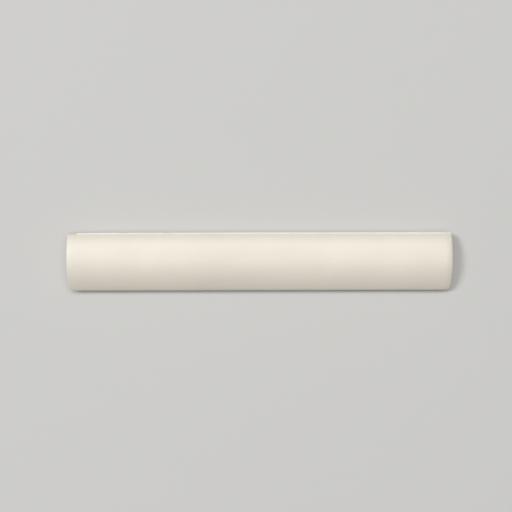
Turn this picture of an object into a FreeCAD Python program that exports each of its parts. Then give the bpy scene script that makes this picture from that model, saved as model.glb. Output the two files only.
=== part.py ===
"""Bullnose trim tile: a long, narrow, crowned wall trim, pressed and fired as one piece of glazed clay.

It lies on its back. X runs along the tile, Z is up through its thickness, and Y runs across it, from the
rounded nose edge at -Y, which ends the tiling, to the square butt edge at +Y, which meets the field tiles.
The origin is the centre of the back. All sizes are in millimetres.
"""

import FreeCAD
import Part
import math
import os

# Overall size
TILE_LENGTH = 200.0
TILE_WIDTH = 30.5
CROWN_HEIGHT = 12.0

# Section: how high above the back the crown's arc would meet each long side, and what rounds it there
BUTT_HEIGHT = 8.2
NOSE_HEIGHT = 3.9
BUTT_ARRIS_RADIUS = 1.1
NOSE_RADIUS = 2.5

# Ends: the upright corners where they meet the long sides, and the arris between the face and each end
NOSE_CORNER_RADIUS = 2.2
BUTT_CORNER_RADIUS = 0.8
END_ARRIS_RADIUS = 0.6

# Foot: the bevel that the press leaves all round the back
FOOT_HEIGHT = 1.1
FOOT_INSET = 0.45

# Back: lengthwise keying grooves for the adhesive, with drafted walls and round ends
GROOVE_COUNT = 6
GROOVE_MOUTH_WIDTH = 2.0
GROOVE_FLOOR_WIDTH = 1.4
GROOVE_DEPTH = 0.8
GROOVE_SIDE_MARGIN = 3.2
GROOVE_END_MARGIN = 7.0

NODE = "bullnose_tile"
SAME_PLACE = 1e-6


def crown_circle():
    """Centre and radius of the arc over the face, in the YZ plane.

    The arc's top is CROWN_HEIGHT above the back, and it passes through BUTT_HEIGHT and NOSE_HEIGHT at the
    two long edges. How far the top stands from the butt edge follows from those two drops and the width.
    """
    butt_drop = CROWN_HEIGHT - BUTT_HEIGHT
    nose_drop = CROWN_HEIGHT - NOSE_HEIGHT
    difference = nose_drop - butt_drop
    spread = TILE_WIDTH**2 + nose_drop * difference
    root = math.sqrt((butt_drop * TILE_WIDTH) ** 2 + butt_drop * difference * spread)
    top_from_butt = butt_drop * spread / (butt_drop * TILE_WIDTH + root)
    radius = (top_from_butt**2 + butt_drop**2) / (2 * butt_drop)
    centre = FreeCAD.Vector(0, TILE_WIDTH / 2 - top_from_butt, CROWN_HEIGHT - radius)
    return centre, radius


def edge_rounding(edge_y, wanted_radius):
    """The circle inside the crown that touches both the crown and the upright side at edge_y.

    Returns its centre and radius, where it leaves the crown and where it meets the side. The radius is
    limited to one that meets the side above the foot.
    """
    crown_centre, crown_radius = crown_circle()
    reach = abs(edge_y - crown_centre.y)
    room = (FOOT_HEIGHT - crown_centre.z) ** 2 / (crown_radius - reach)
    radius = min(wanted_radius, (crown_radius + reach - room) / 2)
    y = edge_y - math.copysign(radius, edge_y)
    z = crown_centre.z + math.sqrt((crown_radius - radius) ** 2 - (y - crown_centre.y) ** 2)
    centre = FreeCAD.Vector(0, y, z)
    on_crown = crown_centre + (centre - crown_centre).normalize() * crown_radius
    return centre, radius, on_crown, FreeCAD.Vector(0, edge_y, z)


def arc(centre, radius, start, end):
    """The shorter arc about centre from start to end."""
    halfway = centre + ((start - centre) + (end - centre)).normalize() * radius
    return Part.Arc(start, halfway, end).toShape()


def section():
    """The tile's cross-section over the plane of its back, as a face in the YZ plane."""
    butt_centre, butt_radius, butt_crown, butt_side = edge_rounding(TILE_WIDTH / 2, BUTT_ARRIS_RADIUS)
    nose_centre, nose_radius, nose_crown, nose_side = edge_rounding(-TILE_WIDTH / 2, NOSE_RADIUS)
    crown_centre, crown_radius = crown_circle()
    butt_foot = FreeCAD.Vector(0, TILE_WIDTH / 2, 0)
    nose_foot = FreeCAD.Vector(0, -TILE_WIDTH / 2, 0)
    edges = [
        Part.LineSegment(butt_foot, butt_side).toShape(),
        arc(butt_centre, butt_radius, butt_side, butt_crown),
        arc(crown_centre, crown_radius, butt_crown, nose_crown),
        arc(nose_centre, nose_radius, nose_crown, nose_side),
        Part.LineSegment(nose_side, nose_foot).toShape(),
        Part.LineSegment(nose_foot, butt_foot).toShape(),
    ]
    return Part.Face(Part.Wire(edges))


def square_bar():
    """The section run along the tile's length, with sharp ends."""
    bar = section().extrude(FreeCAD.Vector(TILE_LENGTH, 0, 0))
    bar.translate(FreeCAD.Vector(-TILE_LENGTH / 2, 0, 0))
    return bar


def plan_outline(inset, height):
    """The tile's outline seen from above, drawn in by inset, as a wire at that height."""
    half_length = TILE_LENGTH / 2 - inset
    half_width = TILE_WIDTH / 2 - inset
    edges = []
    corners = [
        (-1, -1, NOSE_CORNER_RADIUS - inset),
        (1, -1, NOSE_CORNER_RADIUS - inset),
        (1, 1, BUTT_CORNER_RADIUS - inset),
        (-1, 1, BUTT_CORNER_RADIUS - inset),
    ]
    last_point = None
    first_point = None
    for side_x, side_y, radius in corners:
        centre = FreeCAD.Vector(side_x * (half_length - radius), side_y * (half_width - radius), height)
        along_x = centre + FreeCAD.Vector(0, side_y * radius, 0)
        along_y = centre + FreeCAD.Vector(side_x * radius, 0, 0)
        start, end = (along_y, along_x) if side_x == side_y else (along_x, along_y)
        if last_point is None:
            first_point = start
        else:
            edges.append(Part.LineSegment(last_point, start).toShape())
        edges.append(arc(centre, radius, start, end))
        last_point = end
    edges.append(Part.LineSegment(last_point, first_point).toShape())
    return Part.Wire(edges)


def round_corners(bar):
    """Trims the bar to the outline seen from above, which rounds its four upright corners."""
    prism = Part.Face(plan_outline(0, 0)).extrude(FreeCAD.Vector(0, 0, CROWN_HEIGHT))
    return bar.common(prism)


def round_ends(blank):
    """Rounds the edge between the face and each end, from one long side round to the other."""
    end_edges = []
    for edge in blank.Edges:
        box = edge.BoundBox
        on_the_back = box.ZMax < SAME_PLACE
        upright = box.XLength < SAME_PLACE and box.YLength < SAME_PLACE
        along_the_tile = box.XLength > TILE_LENGTH / 2
        if not (on_the_back or upright or along_the_tile):
            end_edges.append(edge)
    return blank.makeFillet(END_ARRIS_RADIUS, end_edges)


def bevel_foot(tile):
    """Cuts the bevel round the back, from the full outline at the foot's top to a smaller one below."""
    kept = Part.makeLoft([plan_outline(FOOT_INSET, 0), plan_outline(0, FOOT_HEIGHT)], True, True)
    clearance = 5.0
    slab = Part.makeBox(
        TILE_LENGTH + 2 * clearance,
        TILE_WIDTH + 2 * clearance,
        FOOT_HEIGHT,
        FreeCAD.Vector(-TILE_LENGTH / 2 - clearance, -TILE_WIDTH / 2 - clearance, 0),
    )
    return tile.cut(slab.cut(kept))


def stadium(width, length, middle_y, height):
    """A slot outline of that width and overall length along X, at that height."""
    radius = width / 2
    straight = length / 2 - radius
    left = FreeCAD.Vector(-straight, middle_y, height)
    right = FreeCAD.Vector(straight, middle_y, height)
    up = FreeCAD.Vector(0, radius, 0)
    out = FreeCAD.Vector(radius, 0, 0)
    edges = [
        Part.LineSegment(left - up, right - up).toShape(),
        Part.Arc(right - up, right + out, right + up).toShape(),
        Part.LineSegment(right + up, left + up).toShape(),
        Part.Arc(left + up, left - out, left - up).toShape(),
    ]
    return Part.Wire(edges)


def cut_grooves(tile):
    """Presses the keying grooves into the back, evenly spaced between its side margins."""
    back_width = TILE_WIDTH - 2 * FOOT_INSET
    first_y = -back_width / 2 + GROOVE_SIDE_MARGIN + GROOVE_MOUTH_WIDTH / 2
    pitch = -2 * first_y / (GROOVE_COUNT - 1)
    mouth_length = TILE_LENGTH - 2 * GROOVE_END_MARGIN
    floor_length = mouth_length - (GROOVE_MOUTH_WIDTH - GROOVE_FLOOR_WIDTH)
    for index in range(GROOVE_COUNT):
        middle_y = first_y + index * pitch
        mouth = stadium(GROOVE_MOUTH_WIDTH, mouth_length, middle_y, 0)
        floor = stadium(GROOVE_FLOOR_WIDTH, floor_length, middle_y, GROOVE_DEPTH)
        tile = tile.cut(Part.makeLoft([mouth, floor], True, True))
    return tile


def main():
    tile = cut_grooves(bevel_foot(round_ends(round_corners(square_bar()))))
    os.makedirs("parts", exist_ok=True)
    solid = tile.Solids[0]
    solid.exportStep(os.path.join("parts", NODE + ".step"))
    box = solid.optimalBoundingBox(False, False)
    print(NODE, "solids", len(tile.Solids), "valid", solid.isValid(), "faces", len(solid.Faces))
    print("size", round(box.XLength, 3), round(box.YLength, 3), round(box.ZLength, 3))
    print("volume", round(solid.Volume, 1))


main()
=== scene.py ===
"""Looks of the bullnose tile: its glazed face with the soft relief of a fired glaze, the bare clay of
its foot and grooved back, and the plain studio it is shown in.

Everything is in metres, in the frame of the solid: X along the tile, Z up, Y from the rounded nose edge
at -Y to the square butt edge at +Y.
"""

import math

import bpy
import numpy as np
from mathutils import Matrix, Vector, noise


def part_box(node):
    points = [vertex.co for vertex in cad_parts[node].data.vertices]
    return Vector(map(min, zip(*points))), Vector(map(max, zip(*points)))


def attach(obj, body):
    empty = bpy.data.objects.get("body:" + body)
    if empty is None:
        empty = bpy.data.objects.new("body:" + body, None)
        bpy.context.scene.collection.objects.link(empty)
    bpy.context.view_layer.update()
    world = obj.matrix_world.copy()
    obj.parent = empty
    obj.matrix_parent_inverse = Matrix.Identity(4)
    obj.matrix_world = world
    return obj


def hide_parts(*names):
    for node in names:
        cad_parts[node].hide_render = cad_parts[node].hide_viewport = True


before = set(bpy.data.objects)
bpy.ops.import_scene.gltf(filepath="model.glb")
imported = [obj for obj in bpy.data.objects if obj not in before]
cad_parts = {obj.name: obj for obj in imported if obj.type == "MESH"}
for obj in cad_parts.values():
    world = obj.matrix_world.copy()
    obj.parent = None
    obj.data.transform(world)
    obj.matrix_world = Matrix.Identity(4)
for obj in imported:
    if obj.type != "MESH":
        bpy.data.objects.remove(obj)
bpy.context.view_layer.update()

MM = 0.001
NODE = "bullnose_tile"

# The tile's section, edges and back, as the solid has them
BUTT_HEIGHT = 8.2 * MM
NOSE_HEIGHT = 3.9 * MM
BUTT_ARRIS_RADIUS = 1.1 * MM
NOSE_RADIUS = 2.5 * MM
NOSE_CORNER_RADIUS = 2.2 * MM
BUTT_CORNER_RADIUS = 0.8 * MM
END_ARRIS_RADIUS = 0.6 * MM
FOOT_HEIGHT = 1.1 * MM
FOOT_INSET = 0.45 * MM
GROOVE_COUNT = 6
GROOVE_MOUTH_WIDTH = 2.0 * MM
GROOVE_FLOOR_WIDTH = 1.4 * MM
GROOVE_DEPTH = 0.8 * MM
GROOVE_SIDE_MARGIN = 3.2 * MM
GROOVE_END_MARGIN = 7.0 * MM

box_low, box_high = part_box(NODE)
LENGTH = box_high.x - box_low.x
WIDTH = box_high.y - box_low.y
HEIGHT = box_high.z - box_low.z


def crown_circle():
    """Centre (y, z) and radius of the arc over the face."""
    butt_drop = HEIGHT - BUTT_HEIGHT
    nose_drop = HEIGHT - NOSE_HEIGHT
    difference = nose_drop - butt_drop
    spread = WIDTH**2 + nose_drop * difference
    root = math.sqrt((butt_drop * WIDTH) ** 2 + butt_drop * difference * spread)
    top_from_butt = butt_drop * spread / (butt_drop * WIDTH + root)
    radius = (top_from_butt**2 + butt_drop**2) / (2 * butt_drop)
    return WIDTH / 2 - top_from_butt, HEIGHT - radius, radius


def edge_rounding(edge_y, wanted_radius):
    """The circle that rounds the crown into the side at edge_y: its centre (y, z), radius and first tilt.

    A tilt is the angle of the surface's normal from upright, positive towards +Y. The first is the one at
    which the circle leaves the crown.
    """
    crown_y, crown_z, crown_radius = crown_circle()
    reach = abs(edge_y - crown_y)
    room = (FOOT_HEIGHT - crown_z) ** 2 / (crown_radius - reach)
    radius = min(wanted_radius, (crown_radius + reach - room) / 2)
    y = edge_y - math.copysign(radius, edge_y)
    z = crown_z + math.sqrt((crown_radius - radius) ** 2 - (y - crown_y) ** 2)
    return y, z, radius, math.atan2(y - crown_y, z - crown_z)


CROWN_Y, CROWN_Z, CROWN_RADIUS = crown_circle()
ARRIS_Y, ARRIS_Z, ARRIS_RADIUS, ARRIS_TILT = edge_rounding(WIDTH / 2, BUTT_ARRIS_RADIUS)
NOSE_Y, NOSE_Z, NOSE_ARC_RADIUS, NOSE_TILT = edge_rounding(-WIDTH / 2, NOSE_RADIUS)


def smooth(low, high, value):
    """0 at low, 1 at high and an even S between them."""
    share = np.clip((value - low) / (high - low), 0, 1)
    return share * share * (3 - 2 * share)


# How far one step of the seed shifts the noise along each axis, in features
SEED_STEP = (17.3, 5.1, 29.7)


def noise_at(points, size, seed):
    """Smooth noise from about -1 to 1 at each point, with features of that size."""
    shift = Vector([seed * step for step in SEED_STEP])
    return np.array([noise.noise(Vector(p) / size + shift) for p in points])


def groove_middles():
    """The Y of each keying groove's middle."""
    back_width = WIDTH - 2 * FOOT_INSET
    first = -back_width / 2 + GROOVE_SIDE_MARGIN + GROOVE_MOUTH_WIDTH / 2
    return np.linspace(first, -first, GROOVE_COUNT)


def groove_depth(x, y):
    """How deep the back lies at each plan position, in round-ended grooves with soft drafted walls."""
    straight = LENGTH / 2 - GROOVE_END_MARGIN - GROOVE_MOUTH_WIDTH / 2
    beyond = np.maximum(np.abs(x) - straight, 0)
    depth = np.zeros_like(x)
    for middle in groove_middles():
        from_middle = np.hypot(beyond, y - middle)
        share = smooth(GROOVE_MOUTH_WIDTH / 2, GROOVE_FLOOR_WIDTH / 2, from_middle)
        depth = np.maximum(depth, GROOVE_DEPTH * share)
    return depth


# The mesh's columns across the tile. Those at a groove's walls are in half mouth widths from its middle
BUTT_CORNER_STEPS = 8
NOSE_CORNER_STEPS = 12
CROWN_COLUMNS = 80
WALL_COLUMNS = (1.08, 1.0, 0.9, 0.8, 0.7, 0.62)


def corner_shares(arc_y, arc_radius, first_tilt, corner_radius, steps):
    """How far across an upright corner its columns lie, from 0 at its inner side to 1 at the long side.

    The columns stand at even steps of tilt round the arc that rounds the face into that side.
    """
    tilts = np.linspace(abs(first_tilt), math.pi / 2, steps + 1)
    places = abs(arc_y) + arc_radius * np.sin(tilts)
    return (places - (WIDTH / 2 - corner_radius)) / corner_radius


def face_columns():
    """The Y of each column of the face before its corners are rounded, from the butt side to the nose."""
    butt = corner_shares(ARRIS_Y, ARRIS_RADIUS, ARRIS_TILT, BUTT_CORNER_RADIUS, BUTT_CORNER_STEPS)
    nose = corner_shares(NOSE_Y, NOSE_ARC_RADIUS, NOSE_TILT, NOSE_CORNER_RADIUS, NOSE_CORNER_STEPS)
    butt_inner = WIDTH / 2 - BUTT_CORNER_RADIUS
    nose_inner = WIDTH / 2 - NOSE_CORNER_RADIUS
    first_tilt = math.asin((butt_inner - CROWN_Y) / CROWN_RADIUS)
    last_tilt = math.asin((-nose_inner - CROWN_Y) / CROWN_RADIUS)
    return np.concatenate([
        butt_inner + BUTT_CORNER_RADIUS * butt[::-1],
        CROWN_Y + CROWN_RADIUS * np.sin(np.linspace(first_tilt, last_tilt, CROWN_COLUMNS)),
        -nose_inner - NOSE_CORNER_RADIUS * nose,
    ])


def back_columns():
    """The Y of each column of the back before its corners are rounded, gathered at the groove walls.

    They match the face's columns one for one, and are the same ones inside the upright corners.
    """
    columns = face_columns()
    wall_offsets = np.array(WALL_COLUMNS) * GROOVE_MOUTH_WIDTH / 2
    first = BUTT_CORNER_STEPS + 1
    last = BUTT_CORNER_STEPS + CROWN_COLUMNS
    places = [columns[first], columns[last]]
    for middle in groove_middles():
        places += list(middle - wall_offsets) + list(middle + wall_offsets)
    places = sorted(places, reverse=True)
    while len(places) < CROWN_COLUMNS:
        gaps = [a - b for a, b in zip(places, places[1:])]
        widest = gaps.index(max(gaps))
        places.insert(widest + 1, (places[widest] + places[widest + 1]) / 2)
    columns[first : last + 1] = places
    return columns


# The mesh's stations along the tile: an even step, then finer ones at the grooves' ends, over the roll
# zone, where a power above 1 gathers them towards the arris, and round the arris
STATION_STEP = 0.66 * MM
GROOVE_END_ZONE = 2.6 * MM
GROOVE_END_STATIONS = 9
ROLL_ZONE = 6.0 * MM
ROLL_STATIONS = 12
ROLL_GATHERING = 1.3
ARRIS_STATIONS = 8


def stations():
    """The X of each row of the mesh before its corners are rounded, from the left end to the right."""
    half = LENGTH / 2
    square = half - ROLL_ZONE
    arris = half - END_ARRIS_RADIUS * (1 - np.sin(np.linspace(0, math.pi / 2, ARRIS_STATIONS + 1)))
    shares = np.linspace(0, 1, ROLL_STATIONS + 1)[1:-1]
    roll = arris[0] - (arris[0] - square) * (1 - shares) ** ROLL_GATHERING
    groove_end = np.linspace(square - GROOVE_END_ZONE, square, GROOVE_END_STATIONS + 1)
    long_run = square - GROOVE_END_ZONE
    middle = np.linspace(-long_run, long_run, int(round(2 * long_run / STATION_STEP)) + 1)
    right = np.concatenate([groove_end[1:], roll, arris])
    return np.concatenate([-right[::-1], middle, right])


# No divisor is smaller than these
LEAST_REACH = 1e-9
LEAST_RADIUS = 1e-6
LEAST_SPREAD = 1e-3


def round_plan(x, y, inset):
    """Plan positions moved so that the outline's corners are round, with the outline drawn in by inset.

    Returns their X and Y, how far each lies inside the outline at the ends and corners, how far it lies
    from the end at its own Y, and the outline's outward direction.
    """
    corner = np.where(y > 0, BUTT_CORNER_RADIUS, NOSE_CORNER_RADIUS)
    across = np.clip((np.abs(x) - (LENGTH / 2 - corner)) / corner, 0, 1)
    along = np.clip((np.abs(y) - (WIDTH / 2 - corner)) / corner, 0, 1)
    radius = corner - inset
    u = across * np.sqrt(1 - along**2 / 2)
    v = along * np.sqrt(1 - across**2 / 2)
    reach = np.hypot(u, v)
    inner_x = np.minimum(np.abs(x), LENGTH / 2 - corner)
    inner_y = np.minimum(np.abs(y), WIDTH / 2 - corner)
    in_corner = (across > 0) & (along > 0)
    out_x = np.where(reach > 0, u / np.maximum(reach, LEAST_REACH), 1)
    out_y = np.where(reach > 0, v / np.maximum(reach, LEAST_REACH), 0)
    from_outline = np.where(in_corner, corner * (1 - reach), LENGTH / 2 - np.abs(x))
    out_x = np.where(in_corner, out_x, 1) * np.sign(x)
    out_y = np.where(in_corner, out_y, 0) * np.sign(y)
    direction = np.stack([out_x, out_y, np.zeros_like(out_x)], -1)
    end_x = LENGTH / 2 - corner + corner * np.sqrt(np.maximum(1 - v**2, 0))
    from_end = end_x - (inner_x + corner * u)
    moved_x = np.sign(x) * (inner_x + radius * u)
    moved_y = np.sign(y) * (inner_y + radius * v)
    return moved_x, moved_y, from_outline, from_end, direction


def tilt_at(y, drop):
    """The tilt of the section at each Y, for a surface that lies that far inside it."""
    crown = (y - CROWN_Y) / (CROWN_RADIUS - drop)
    arris = (y - ARRIS_Y) / np.maximum(ARRIS_RADIUS - drop, LEAST_RADIUS)
    nose = (y - NOSE_Y) / (NOSE_ARC_RADIUS - drop)
    sine = np.where(crown > math.sin(ARRIS_TILT), arris, crown)
    sine = np.where(crown < math.sin(NOSE_TILT), nose, sine)
    return np.arcsin(np.clip(sine, -1, 1))


def face_height(y, drop):
    """Height of the surface that lies that far inside the section, at each Y."""
    tilt = tilt_at(y, drop)
    on_arris = (y - CROWN_Y) / (CROWN_RADIUS - drop) > math.sin(ARRIS_TILT)
    on_nose = (y - CROWN_Y) / (CROWN_RADIUS - drop) < math.sin(NOSE_TILT)
    z = CROWN_Z + (CROWN_RADIUS - drop) * np.cos(tilt)
    z = np.where(on_arris, ARRIS_Z + np.maximum(ARRIS_RADIUS - drop, 0) * np.cos(tilt), z)
    return np.where(on_nose, NOSE_Z + (NOSE_ARC_RADIUS - drop) * np.cos(tilt), z)


# The glaze's lower edge: its height at each side, how far it wanders, with a share of finer ripples, how
# far its tongues drop, how much steadier it is at the nose, and how far above the foot it stays. A noise
# is its feature size and its seed. A tongue starts at the first noise level and is full at the second.
BUTT_GLAZE_LINE = 2.4 * MM
NOSE_GLAZE_LINE = 1.5 * MM
GLAZE_LINE_WANDER = 0.35 * MM
WANDER_NOISE = (11 * MM, 1)
RIPPLE_NOISE = (3.6 * MM, 2)
RIPPLE_SHARE = 0.45
GLAZE_TONGUE_DROP = 0.7 * MM
TONGUE_NOISE = (5.5 * MM, 3)
TONGUE_LEVELS = (0.22, 0.6)
NOSE_STEADINESS = 0.75
LEAST_BARE_HEIGHT = 0.2 * MM


def glaze_line(x, y):
    """Height of the glaze's lower edge at each plan position. It wanders, and short tongues run lower."""
    points = np.stack([x, y, np.zeros_like(x)], 1)
    wander = noise_at(points, *WANDER_NOISE) + RIPPLE_SHARE * noise_at(points, *RIPPLE_NOISE)
    tongues = smooth(*TONGUE_LEVELS, noise_at(points, *TONGUE_NOISE))
    to_nose = (WIDTH / 2 - y) / WIDTH
    line = BUTT_GLAZE_LINE + to_nose * (NOSE_GLAZE_LINE - BUTT_GLAZE_LINE)
    change = GLAZE_LINE_WANDER * wander - GLAZE_TONGUE_DROP * tongues
    line += change * (1 - NOSE_STEADINESS * to_nose)
    return np.maximum(line, FOOT_HEIGHT + LEAST_BARE_HEIGHT)


# The glaze in section: its thickness, and the height over which it rounds up to that. Its lip is thicker
# by a share of that thickness, and the lip's middle above the line and its breadth are in edge heights.
GLAZE_THICKNESS = 0.16 * MM
GLAZE_EDGE_HEIGHT = 0.26 * MM
LIP_THICKNESS = 0.25
LIP_MIDDLE = 1.6
LIP_BREADTH = 0.9


def recess(height, line):
    """How far the surface lies inside full glaze, at each height.

    It lies in by the whole thickness below the line, comes out over the edge and stands proud at the lip.
    """
    above = (height - line) / GLAZE_EDGE_HEIGHT
    rounded = np.sqrt(np.clip(1 - (1 - np.clip(above, 0, 1)) ** 2, 0, 1))
    lip = LIP_THICKNESS * np.exp(-(((above - LIP_MIDDLE) / LIP_BREADTH) ** 2))
    return GLAZE_THICKNESS * (1 - rounded - lip * rounded)


# How far from each end the face starts to fall, and how far it has fallen at the end
ROLL_LENGTH = 4.2 * MM
LEFT_ROLL_DEPTH = 0.2 * MM
RIGHT_ROLL_DEPTH = 1.1 * MM

# An arris lowers the face by no more than this share of the way left to the long side
ARRIS_SHARE = 0.97


def face_grid(x, y):
    """Places and normals of the face: the section, run to the round-cornered ends with their arris."""
    x, y, from_outline, from_end, direction = round_plan(x, y, 0)
    tilt = tilt_at(y, 0)
    normal = np.stack([np.zeros_like(tilt), np.sin(tilt), np.cos(tilt)], -1)
    roll_depth = np.where(x > 0, RIGHT_ROLL_DEPTH, LEFT_ROLL_DEPTH)
    roll = roll_depth * np.clip(1 - from_end / ROLL_LENGTH, 0, 1) ** 2
    # The arris is a ball of its radius rolled along the edge between the face and the upright end
    radius = END_ARRIS_RADIUS
    alike = np.clip((direction * normal).sum(-1), 0, 1)
    from_centre = np.clip(radius - from_outline, 0, radius)
    rest = np.sqrt((1 - alike**2) * (radius**2 - from_centre**2))
    on_arris = from_centre > alike * radius
    drop = np.where(on_arris, radius - alike * from_centre - rest, 0)
    spread = np.maximum(1 - alike**2, LEAST_SPREAD)
    outward = np.where(on_arris, (from_centre - alike * (radius - drop)) / spread, 0)
    inward = np.where(on_arris, (radius - drop - alike * from_centre) / spread, radius)
    rounded = direction * outward[..., None] + normal * inward[..., None]
    room = np.where(y > 0, WIDTH / 2 - y, WIDTH / 2 + y)
    height = face_height(y, np.minimum(drop, ARRIS_SHARE * room)) * (1 - roll / HEIGHT)
    points = np.stack([x, y, height], -1)
    line = glaze_line(x.ravel(), y.ravel()).reshape(x.shape)
    normals = rounded / np.linalg.norm(rounded, axis=-1, keepdims=True)
    return points - normals * recess(height, line)[..., None], normals


def rim(grid):
    """The values round a grid's edge: the butt side, the right end, the nose side and the left end."""
    return np.concatenate([grid[:-1, 0], grid[-1, :-1], grid[:0:-1, -1], grid[0, :0:-1]])


def rim_directions(direction):
    """The outward direction round the rim. The ends and corners keep theirs, and the sides face Y."""
    direction = direction.copy()
    inner = np.abs(direction[..., 1]) == 0
    # The first column is the butt side and the last is the nose side
    for column, sign in ((0, 1), (-1, -1)):
        direction[inner[:, column], column] = (0, sign, 0)
    return rim(direction)


# Rows up a wall: at shares of the way to the glaze line, at steps across it, and then on to the top
BARE_SHARES = (0.0, 0.5)
GLAZE_STEPS = (-0.12 * MM, -0.04 * MM, 0.03 * MM, 0.12 * MM, GLAZE_EDGE_HEIGHT)
GLAZED_ROWS = 10

# The heights from its line at which the glaze starts to cover the clay, and covers it whole
GLAZE_COVER = (-0.10 * MM, 0.02 * MM)


def wall_heights(line, top):
    """Heights of the rows up a wall for each place, given its glaze line and its top: (rows, places)."""
    low = line + GLAZE_STEPS[0]
    high = np.minimum(line + GLAZE_STEPS[-1], top)
    rows = [FOOT_HEIGHT + share * (low - FOOT_HEIGHT) for share in BARE_SHARES]
    rows += [line + step for step in GLAZE_STEPS[:-1]] + [high]
    rows += [high + share * (top - high) for share in np.linspace(0, 1, GLAZED_ROWS + 1)[1:]]
    return np.stack(rows)


def wall_rings(top, foot, outward):
    """The rings of points down the walls, from under the face's rim to the top of the foot.

    Returns the rings, and how glazed each point of each ring is.
    """
    line = glaze_line(foot[:, 0], foot[:, 1])
    upwards = wall_heights(line, top[:, 2])
    rings = []
    glazed = []
    for height in upwards[-2::-1]:
        climb = (height - FOOT_HEIGHT) / (top[:, 2] - FOOT_HEIGHT)
        plan = foot + climb[:, None] * (top[:, :2] - foot)
        inset = recess(height, line)[:, None] * outward[:, :2]
        rings.append(np.column_stack([plan - inset, height]))
        glazed.append(smooth(*GLAZE_COVER, height - line))
    return rings, glazed


def tile_faces(index, ring_count):
    """The mesh's faces: the face's grid, the back's turned over, and the rings between their rims."""
    ring_size = len(rim(index))
    first_back = index.size + ring_size * ring_count
    corners = [index[:-1, :-1], index[:-1, 1:], index[1:, 1:], index[1:, :-1]]
    grid = np.stack(corners, -1).reshape(-1, 4)
    faces = grid.tolist() + (grid[:, ::-1] + first_back).tolist()
    loops = [rim(index)]
    loops += [index.size + number * ring_size + np.arange(ring_size) for number in range(ring_count)]
    loops += [rim(index) + first_back]
    for upper, lower in zip(loops, loops[1:]):
        faces += np.stack([upper, np.roll(upper, -1), np.roll(lower, -1), lower], 1).tolist()
    return faces


def tile_mesh():
    """The whole tile as one closed mesh: points, their normals, how glazed each one is, and faces."""
    x = stations()
    face_x, face_y = np.meshgrid(x, face_columns(), indexing="ij")
    back_x, back_y = np.meshgrid(x, back_columns(), indexing="ij")
    face_points, face_normals = face_grid(face_x, face_y)
    outline_x, outline_y, _, _, direction = round_plan(back_x, back_y, 0)
    outward = rim_directions(direction)
    foot = np.stack([rim(outline_x), rim(outline_y)], 1)

    rings, ring_glazed = wall_rings(rim(face_points), foot, outward)
    ring_normals = [outward] * len(rings)
    bevel_x, bevel_y, *_ = round_plan(rim(back_x), rim(back_y), FOOT_INSET / 2 + GLAZE_THICKNESS)
    rings.append(np.column_stack([bevel_x, bevel_y, np.full(len(foot), FOOT_HEIGHT / 2)]))
    ring_normals.append(outward - [0, 0, FOOT_INSET / FOOT_HEIGHT])
    ring_glazed.append(np.zeros(len(foot)))

    under_x, under_y, *_ = round_plan(back_x, back_y, FOOT_INSET + GLAZE_THICKNESS)
    back_points = np.stack([under_x, under_y, groove_depth(under_x, under_y)], -1)
    back_normals = np.zeros_like(back_points) + (0, 0, -1)

    points = np.concatenate([face_points.reshape(-1, 3), *rings, back_points.reshape(-1, 3)])
    normals = np.concatenate([face_normals.reshape(-1, 3), *ring_normals, back_normals.reshape(-1, 3)])
    normals /= np.linalg.norm(normals, axis=1, keepdims=True)
    glazed = np.concatenate([np.ones(face_x.size), *ring_glazed, np.zeros(face_x.size)])
    index = np.arange(face_x.size).reshape(face_x.shape)
    return points, normals, glazed, tile_faces(index, len(rings))


# The worn stretch of the butt arris, at its left end: the X where the wear starts and where it is full,
# its depth, and how bare it leaves the clay. Its middle lies in from the side and up from the arris's
# centre, it reaches so far across and up from there, and it comes in patches.
WORN_ALONG = (-94.6 * MM, -96.0 * MM)
WORN_DEPTH = 0.38 * MM
WORN_BARENESS = 0.5
WORN_IN = 0.3 * MM
WORN_UP = 0.6 * MM
WORN_REACH_ACROSS = 0.8 * MM
WORN_REACH_UP = 1.1 * MM
WORN_STRENGTH = 0.65
WORN_UNEVENNESS = 0.6
WORN_NOISE = (1.7 * MM, 8)


def wear(points):
    """How worn each point is, from 0 to 1."""
    x, y, z = points.T
    across = (y - WIDTH / 2 + WORN_IN) / WORN_REACH_ACROSS
    up = (z - ARRIS_Z - WORN_UP) / WORN_REACH_UP
    patches = WORN_STRENGTH + WORN_UNEVENNESS * noise_at(points, *WORN_NOISE)
    along = np.clip(smooth(*WORN_ALONG, x) * patches, 0, 1)
    return np.exp(-(across**2)) * np.exp(-(up**2)) * along


# How far the face and the ends wave in and out. The long waves are drawn out along the tile.
FACE_WAVE = 0.035 * MM
END_WAVE = 0.06 * MM
LONG_WAVE_SQUEEZE = (0.35, 1, 1)
LONG_WAVE_NOISE = (13 * MM, 4)
SHORT_WAVE_NOISE = (4.5 * MM, 5)
SHORT_WAVE_SHARE = 0.35
END_WAVE_NOISE = (3.2 * MM, 6)

# The back's hollows: their depth, the noise levels where they start and are full, and how squarely a
# point has to face down to lie in one
HOLLOW_DEPTH = 0.05 * MM
HOLLOW_NOISE = (6 * MM, 7)
HOLLOW_LEVELS = (0.05, 0.6)
HOLLOW_FACING = 0.9


def relief(points, normals, worn):
    """The points moved in or out by the glaze's soft waves, the clay's unevenness and the wear."""
    upward = np.clip(normals[:, 2], 0, 1)
    downward = np.clip(-normals[:, 2], 0, 1)
    endward = np.abs(normals[:, 0])
    long_wave = noise_at(points * np.array(LONG_WAVE_SQUEEZE), *LONG_WAVE_NOISE)
    short_wave = noise_at(points, *SHORT_WAVE_NOISE)
    wave = FACE_WAVE * upward * (long_wave + SHORT_WAVE_SHARE * short_wave)
    wave += END_WAVE * endward * noise_at(points, *END_WAVE_NOISE)
    hollow = HOLLOW_DEPTH * smooth(*HOLLOW_LEVELS, noise_at(points, *HOLLOW_NOISE))
    hollow *= downward > HOLLOW_FACING
    return points + normals * (wave - hollow - WORN_DEPTH * worn)[:, None]


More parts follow.
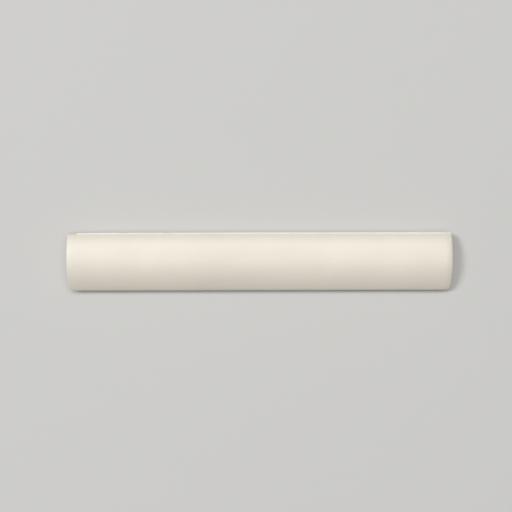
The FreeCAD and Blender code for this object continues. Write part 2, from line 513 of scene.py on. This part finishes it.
# The lines of thin glaze, paler partly as thin glaze is and partly as painted highlight: those along the
# long sides start and are full so far in from their side. The one over each end's arris shows where that
# faces the end enough, and grows stronger between two places across the tile. None shows on a surface
# that faces down, as the painted highlight keeps to surfaces lit from above, and the wear takes them off.
BUTT_LINE = (1.1 * MM, 0.6 * MM)
NOSE_LINE = (0.8 * MM, 0.3 * MM)
NOSE_LINE_STRENGTH = 0.3
END_LINE_FACING = (0.5, 0.8)
END_LINE_PLACES = (-8 * MM, 1 * MM)
END_LINE_STRENGTH = 0.35
END_LINE_GROWTH = 0.25
THIN_HIGHLIGHT_FACING = (-0.02, 0.25)
WEAR_ON_THIN_HIGHLIGHT = 3


def thin_glaze_and_highlight(points, normals, glazed, worn):
    """How thin the glaze lies at each point, together with the painted highlight along the arrises, from
    0 to 1.
    """
    y = points[:, 1]
    butt_line = smooth(*BUTT_LINE, WIDTH / 2 - y)
    nose_line = NOSE_LINE_STRENGTH * smooth(*NOSE_LINE, WIDTH / 2 + y)
    end_line = smooth(*END_LINE_FACING, np.abs(normals[:, 0]))
    end_line *= END_LINE_STRENGTH + END_LINE_GROWTH * smooth(*END_LINE_PLACES, y)
    thin_and_highlight = np.maximum.reduce([butt_line, end_line, nose_line]) * smooth(*THIN_HIGHLIGHT_FACING, normals[:, 2])
    return thin_and_highlight * glazed * (1 - np.clip(worn * WEAR_ON_THIN_HIGHLIGHT, 0, 1))


# Faces that meet at more than this angle show a sharp edge
SHARP_ANGLE = math.radians(38)


def make_tile():
    """The tile as one object, with the two masks that its material reads."""
    points, normals, glazed, faces = tile_mesh()
    worn = wear(points)
    bare = np.maximum(1 - glazed, WORN_BARENESS * worn)
    # Paler lines along the arrises: partly thin glaze, partly painted highlight
    thin_and_highlight = thin_glaze_and_highlight(points, normals, glazed, worn)
    mesh = bpy.data.meshes.new("tile_body")
    mesh.from_pydata(relief(points, normals, worn).tolist(), [], faces)
    mesh.validate()
    for name, values in (("bare", bare), ("thin_and_highlight", thin_and_highlight)):
        attribute = mesh.attributes.new(name, "FLOAT", "POINT")
        attribute.data.foreach_set("value", values.astype(np.float32))
    mesh.shade_smooth()
    mesh.set_sharp_from_angle(angle=SHARP_ANGLE)
    tile = bpy.data.objects.new("tile_body", mesh)
    bpy.context.scene.collection.objects.link(tile)
    return tile


def set_input(tree, socket, value):
    """Gives an input its value: a number, a colour, or a socket to link it to."""
    if isinstance(value, bpy.types.NodeSocket):
        tree.links.new(value, socket)
    else:
        socket.default_value = value


def add_node(tree, kind, inputs=(), **settings):
    """A node of that kind, with its settings and the values of its inputs."""
    made = tree.nodes.new(kind)
    for name, value in settings.items():
        setattr(made, name, value)
    for name, value in dict(inputs).items():
        set_input(tree, made.inputs[name], value)
    return made


def calculated(tree, operation, first, second):
    """The result of that operation on two values, as a socket."""
    made = add_node(tree, "ShaderNodeMath", {0: first, 1: second}, operation=operation)
    return made.outputs["Value"]


def ranged(tree, value, from_low, from_high, to_low, to_high):
    """The value mapped from one range to another, held at its ends."""
    inputs = {
        "Value": value,
        "From Min": from_low,
        "From Max": from_high,
        "To Min": to_low,
        "To Max": to_high,
    }
    return add_node(tree, "ShaderNodeMapRange", inputs).outputs["Result"]


# Where a mix node has its share and its colours among its inputs, and its colour among its outputs
MIX_SHARE = 0
MIX_FIRST = 6
MIX_SECOND = 7
MIX_RESULT = 2


def mixed(tree, share, first, second, blend="MIX"):
    """Two colours mixed by a share from 0, all first, to 1, all second."""
    inputs = {MIX_SHARE: share, MIX_FIRST: first, MIX_SECOND: second}
    made = add_node(tree, "ShaderNodeMix", inputs, data_type="RGBA", blend_type=blend)
    return made.outputs[MIX_RESULT]


def mask(tree, name):
    """One of the mesh's masks, as a socket."""
    return add_node(tree, "ShaderNodeAttribute", attribute_name=name).outputs["Fac"]


def noise_node(tree, where, size, detail):
    """Noise with features of that size in metres, as a socket from 0 to 1."""
    made = add_node(tree, "ShaderNodeTexNoise", {"Vector": where, "Scale": 1 / size, "Detail": detail})
    return made.outputs["Fac"]


# Nearly all of a noise node's values lie between these
NOISE_RANGE = (0.3, 0.7)


def varied(tree, where, size_and_detail, values):
    """A socket that varies over the surface between two values, by that noise."""
    return ranged(tree, noise_node(tree, where, *size_and_detail), *NOISE_RANGE, *values)


# The glaze, with each noise in it as a feature size and a level of detail, and what it varies between
GLAZE_COLOUR = (0.80, 0.745, 0.647, 1)
GLAZE_SPECULAR = 0.65
GLOSS_NOISE = (5 * MM, 3)
GLOSS_ROUGHNESS = (0.39, 0.44)
CLOUD_NOISE = (22 * MM, 3)
CLOUD_TONES = (0.975, 1.02)
MOTTLE_NOISE = (1.1 * MM, 2)
MOTTLE_TONES = (0.99, 1.01)
PEEL_NOISE = (1.6 * MM, 2)
PEEL_DEPTH = 0.012 * MM

# Its tone changes towards each side, between two places across the tile. Towards the butt side it
# darkens, as painted shade
BUTT_SHADE_BAND = (10.5 * MM, 13.5 * MM)
BUTT_SHADE_TONE = 0.93
# Towards the nose it grows paler, as painted light
NOSE_LIGHT_BAND = (-14 * MM, -9.5 * MM)
NOSE_LIGHT_TONE = 1.05

# Where it lies thin it is paler, in patches, and the same paler colour paints a highlight along the
# arrises
THIN_GLAZE_HIGHLIGHT_COLOUR = (0.93, 0.90, 0.83, 1)
THIN_HIGHLIGHT_PATCH_NOISE = (6 * MM, 2)
THIN_HIGHLIGHT_PATCH_SHARES = (0.6, 1)

# Specks lie in the cells whose random number is high enough, and fade between two distances, in cells
SPECK_COLOUR = (0.45, 0.40, 0.33, 1)
SPECK_CELL = 7 * MM
SPECK_CHOICE = (0.62, 0.64)
SPECK_STRENGTH = 0.5
SPECK_EDGE = (0.022, 0.04)

# The bare clay, which its grain and its blotches darken between two levels of their noise
CLAY_COLOUR = (0.60, 0.49, 0.37, 1)
CLAY_DARK = (0.47, 0.37, 0.27, 1)
CLAY_ROUGHNESS = 0.92
GRAIN_NOISE = (0.5 * MM, 4)
GRAIN_LEVELS = (0.35, 0.7)
GRAIN_SHARE = 0.6
GRAIN_DEPTH = 0.10 * MM
BLOTCH_NOISE = (9 * MM, 3)
BLOTCH_LEVELS = (0.4, 0.7)
BLOTCH_SHARE = 0.4


def glaze_colour(tree, where):
    """Ivory glaze with faint clouds and a few specks, with painted shade towards the butt side, painted
    light towards the nose, and a paler line along its arrises, partly thin glaze and partly painted
    highlight.
    """
    cloud = varied(tree, where, CLOUD_NOISE, CLOUD_TONES)
    mottle = varied(tree, where, MOTTLE_NOISE, MOTTLE_TONES)
    glaze = mixed(tree, 1.0, GLAZE_COLOUR, calculated(tree, "MULTIPLY", cloud, mottle), "MULTIPLY")
    cells = add_node(tree, "ShaderNodeTexVoronoi", {"Vector": where, "Scale": 1 / SPECK_CELL})
    chosen = ranged(tree, cells.outputs["Color"], *SPECK_CHOICE, 0, SPECK_STRENGTH)
    speck = ranged(tree, cells.outputs["Distance"], *SPECK_EDGE, chosen, 0)
    glaze = mixed(tree, speck, glaze, SPECK_COLOUR)
    across = add_node(tree, "ShaderNodeSeparateXYZ", {0: where}).outputs["Y"]
    # Darker towards the butt side: painted shade
    butt_painted_shade = ranged(tree, across, *BUTT_SHADE_BAND, 1, BUTT_SHADE_TONE)
    glaze = mixed(tree, 1.0, glaze, butt_painted_shade, "MULTIPLY")
    # Paler towards the nose edge: painted light
    nose_painted_light = ranged(tree, across, *NOSE_LIGHT_BAND, NOSE_LIGHT_TONE, 1)
    glaze = mixed(tree, 1.0, glaze, nose_painted_light, "MULTIPLY")
    patches = varied(tree, where, THIN_HIGHLIGHT_PATCH_NOISE, THIN_HIGHLIGHT_PATCH_SHARES)
    # Paler along the arrises: partly thin glaze, partly painted highlight
    thin_and_highlight = calculated(tree, "MULTIPLY", mask(tree, "thin_and_highlight"), patches)
    return mixed(tree, thin_and_highlight, glaze, THIN_GLAZE_HIGHLIGHT_COLOUR)


def clay_colour(tree, where, grain):
    """Fired clay, darker in its grain and in wide blotches."""
    grain_share = ranged(tree, grain, *GRAIN_LEVELS, 0, GRAIN_SHARE)
    blotches = noise_node(tree, where, *BLOTCH_NOISE)
    blotch_share = ranged(tree, blotches, *BLOTCH_LEVELS, 0, BLOTCH_SHARE)
    return mixed(tree, calculated(tree, "ADD", grain_share, blotch_share), CLAY_COLOUR, CLAY_DARK)


def fired_material():
    """Satin ivory glaze where the bare mask is 0 and fired clay where it is 1."""
    material = bpy.data.materials.new("satin_glaze_on_clay")
    material.use_nodes = True
    tree = material.node_tree
    shader = tree.nodes["Principled BSDF"]
    where = add_node(tree, "ShaderNodeTexCoord").outputs["Object"]
    bare = mask(tree, "bare")
    grain = noise_node(tree, where, *GRAIN_NOISE)

    colour = mixed(tree, bare, glaze_colour(tree, where), clay_colour(tree, where, grain))
    tree.links.new(colour, shader.inputs["Base Color"])

    gloss = varied(tree, where, GLOSS_NOISE, GLOSS_ROUGHNESS)
    roughness = ranged(tree, bare, 0, 1, gloss, CLAY_ROUGHNESS)
    tree.links.new(roughness, shader.inputs["Roughness"])
    shader.inputs["Specular IOR Level"].default_value = GLAZE_SPECULAR

    peel = calculated(tree, "MULTIPLY", noise_node(tree, where, *PEEL_NOISE), PEEL_DEPTH)
    rough_clay = calculated(tree, "MULTIPLY", grain, GRAIN_DEPTH)
    height = calculated(tree, "ADD", peel, calculated(tree, "MULTIPLY", rough_clay, bare))
    # The height is in metres, so a distance of 1 shows it as deep as it is
    bump = add_node(tree, "ShaderNodeBump", {"Height": height, "Distance": 1.0, "Strength": 1.0})
    tree.links.new(bump.outputs["Normal"], shader.inputs["Normal"])
    return material


WHITE = (1, 1, 1, 1)

# The sky's strength on the tile, and as the camera sees it
SKY_SHARE = 0.115
SKY_SEEN = 0.64

# The floor's colour to the eye, and in the light that it throws back
FLOOR_COLOUR = (0.60, 0.595, 0.58, 1)
FLOOR_BOUNCE_COLOUR = (0.42, 0.41, 0.39, 1)
FLOOR_ROUGHNESS = 0.95
FLOOR_SPECULAR = 0.1
FLOOR_SIZE = 4.0

# How far from the tile it starts to fade into the sky, and where it is lost in it, so no horizon shows
FADE_START = 0.22
FADE_END = 0.8


def floor_material():
    """A plain pale finish that fades into the sky, which only the camera sees."""
    material = bpy.data.materials.new("plain_floor")
    material.use_nodes = True
    tree = material.node_tree
    shader = tree.nodes["Principled BSDF"]
    shader.inputs["Roughness"].default_value = FLOOR_ROUGHNESS
    shader.inputs["Specular IOR Level"].default_value = FLOOR_SPECULAR
    path = add_node(tree, "ShaderNodeLightPath")
    by_camera = path.outputs["Is Camera Ray"]
    seen = calculated(tree, "MAXIMUM", by_camera, path.outputs["Is Glossy Ray"])
    colour = mixed(tree, seen, FLOOR_BOUNCE_COLOUR, FLOOR_COLOUR)
    tree.links.new(colour, shader.inputs["Base Color"])
    where = add_node(tree, "ShaderNodeTexCoord").outputs["Object"]
    distance = add_node(tree, "ShaderNodeVectorMath", {0: where}, operation="LENGTH").outputs["Value"]
    far = ranged(tree, distance, FADE_START, FADE_END, 0, by_camera)
    sky = add_node(tree, "ShaderNodeEmission", {"Color": WHITE, "Strength": SKY_SEEN})
    layers = {0: far, 1: shader.outputs["BSDF"], 2: sky.outputs["Emission"]}
    blend = add_node(tree, "ShaderNodeMixShader", layers)
    tree.links.new(blend.outputs["Shader"], tree.nodes["Material Output"].inputs["Surface"])
    return material


def make_floor():
    """The plain surface that the tile lies on."""
    half = FLOOR_SIZE / 2
    corners = [(-half, -half, 0), (half, -half, 0), (half, half, 0), (-half, half, 0)]
    mesh = bpy.data.meshes.new("floor")
    mesh.from_pydata(corners, [], [(0, 1, 2, 3)])
    mesh.materials.append(floor_material())
    floor = bpy.data.objects.new("floor", mesh)
    bpy.context.scene.collection.objects.link(floor)


# Each lamp's lean from upright towards -X and towards +Y, its length along X and breadth, and the share
# of full white that it gives a surface square to it
LAMP_DISTANCE = 4.0
LAMPS = (
    ("key", 0.78, 0.28, 1.0, 1.0, 0.485),
    ("butt_panel", -0.10, 0.52, 4.2, 0.93, 0.385),
    ("nose_panel", 0.0, -0.12, 4.2, 1.2, 0.24),
    ("fill", -0.7, 0.0, 1.5, 1.5, 0.06),
)


def make_lamp(name, lean_left, lean_butt, length, breadth, share):
    """A soft lamp that faces the tile from LAMP_DISTANCE.

    White that lies square to a lamp of power P shows P / (pi * LAMP_DISTANCE) ** 2 of full white.
    """
    direction = Vector((-lean_left, lean_butt, 1)).normalized()
    lamp = bpy.data.lights.new(name, "AREA")
    lamp.shape = "RECTANGLE"
    lamp.size = length
    lamp.size_y = breadth
    lamp.energy = share * math.pi**2 * LAMP_DISTANCE**2
    made = bpy.data.objects.new(name, lamp)
    made.location = direction * LAMP_DISTANCE
    made.rotation_mode = "QUATERNION"
    made.rotation_quaternion = direction.to_track_quat("Z", "Y")
    bpy.context.scene.collection.objects.link(made)


def make_light():
    """The lamps and a faint even sky, which together show a colour about as it is written."""
    for lamp in LAMPS:
        make_lamp(*lamp)
    world = bpy.data.worlds.new("sky")
    world.use_nodes = True
    background = world.node_tree.nodes["Background"]
    background.inputs["Color"].default_value = WHITE
    path = add_node(world.node_tree, "ShaderNodeLightPath")
    strength = ranged(world.node_tree, path.outputs["Is Camera Ray"], 0, 1, SKY_SHARE, SKY_SEEN)
    world.node_tree.links.new(strength, background.inputs["Strength"])
    bpy.context.scene.world = world


# How the photograph was taken: the picture's side and focal length in pixels, the camera's height, where
# the tile's middle falls in the picture, and how far the tile is turned in it
PICTURE_SIDE = 512
FOCAL_LENGTH = 702.6
CAMERA_HEIGHT = 374 * MM
TILE_MIDDLE = (259.9, 261.62)
TILE_TURN = math.radians(0.155)

# The width of the camera's sensor, in millimetres as its lens is, and the nearest distance that it shows
SENSOR_WIDTH = 36
NEAREST_SHOWN = 10 * MM


def make_camera():
    """Straight above the tile, as in the photograph."""
    data = bpy.data.cameras.new("camera")
    data.sensor_width = SENSOR_WIDTH
    data.lens = SENSOR_WIDTH * FOCAL_LENGTH / PICTURE_SIDE
    data.clip_start = NEAREST_SHOWN
    camera = bpy.data.objects.new("camera", data)
    scale = (CAMERA_HEIGHT - HEIGHT) / FOCAL_LENGTH
    across = (TILE_MIDDLE[0] - PICTURE_SIDE / 2) * scale
    down = (TILE_MIDDLE[1] - PICTURE_SIDE / 2) * scale
    camera.location = (-across, down, CAMERA_HEIGHT)
    camera.rotation_euler = (0, 0, -TILE_TURN)
    bpy.context.scene.collection.objects.link(camera)
    bpy.context.scene.camera = camera


def main():
    """Dresses the tile, and sets up its floor, light and camera."""
    tile = make_tile()
    tile.data.materials.append(fired_material())
    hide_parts(NODE)
    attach(tile, "root")
    make_floor()
    make_light()
    make_camera()
    bpy.context.scene.view_settings.view_transform = "Standard"


main()
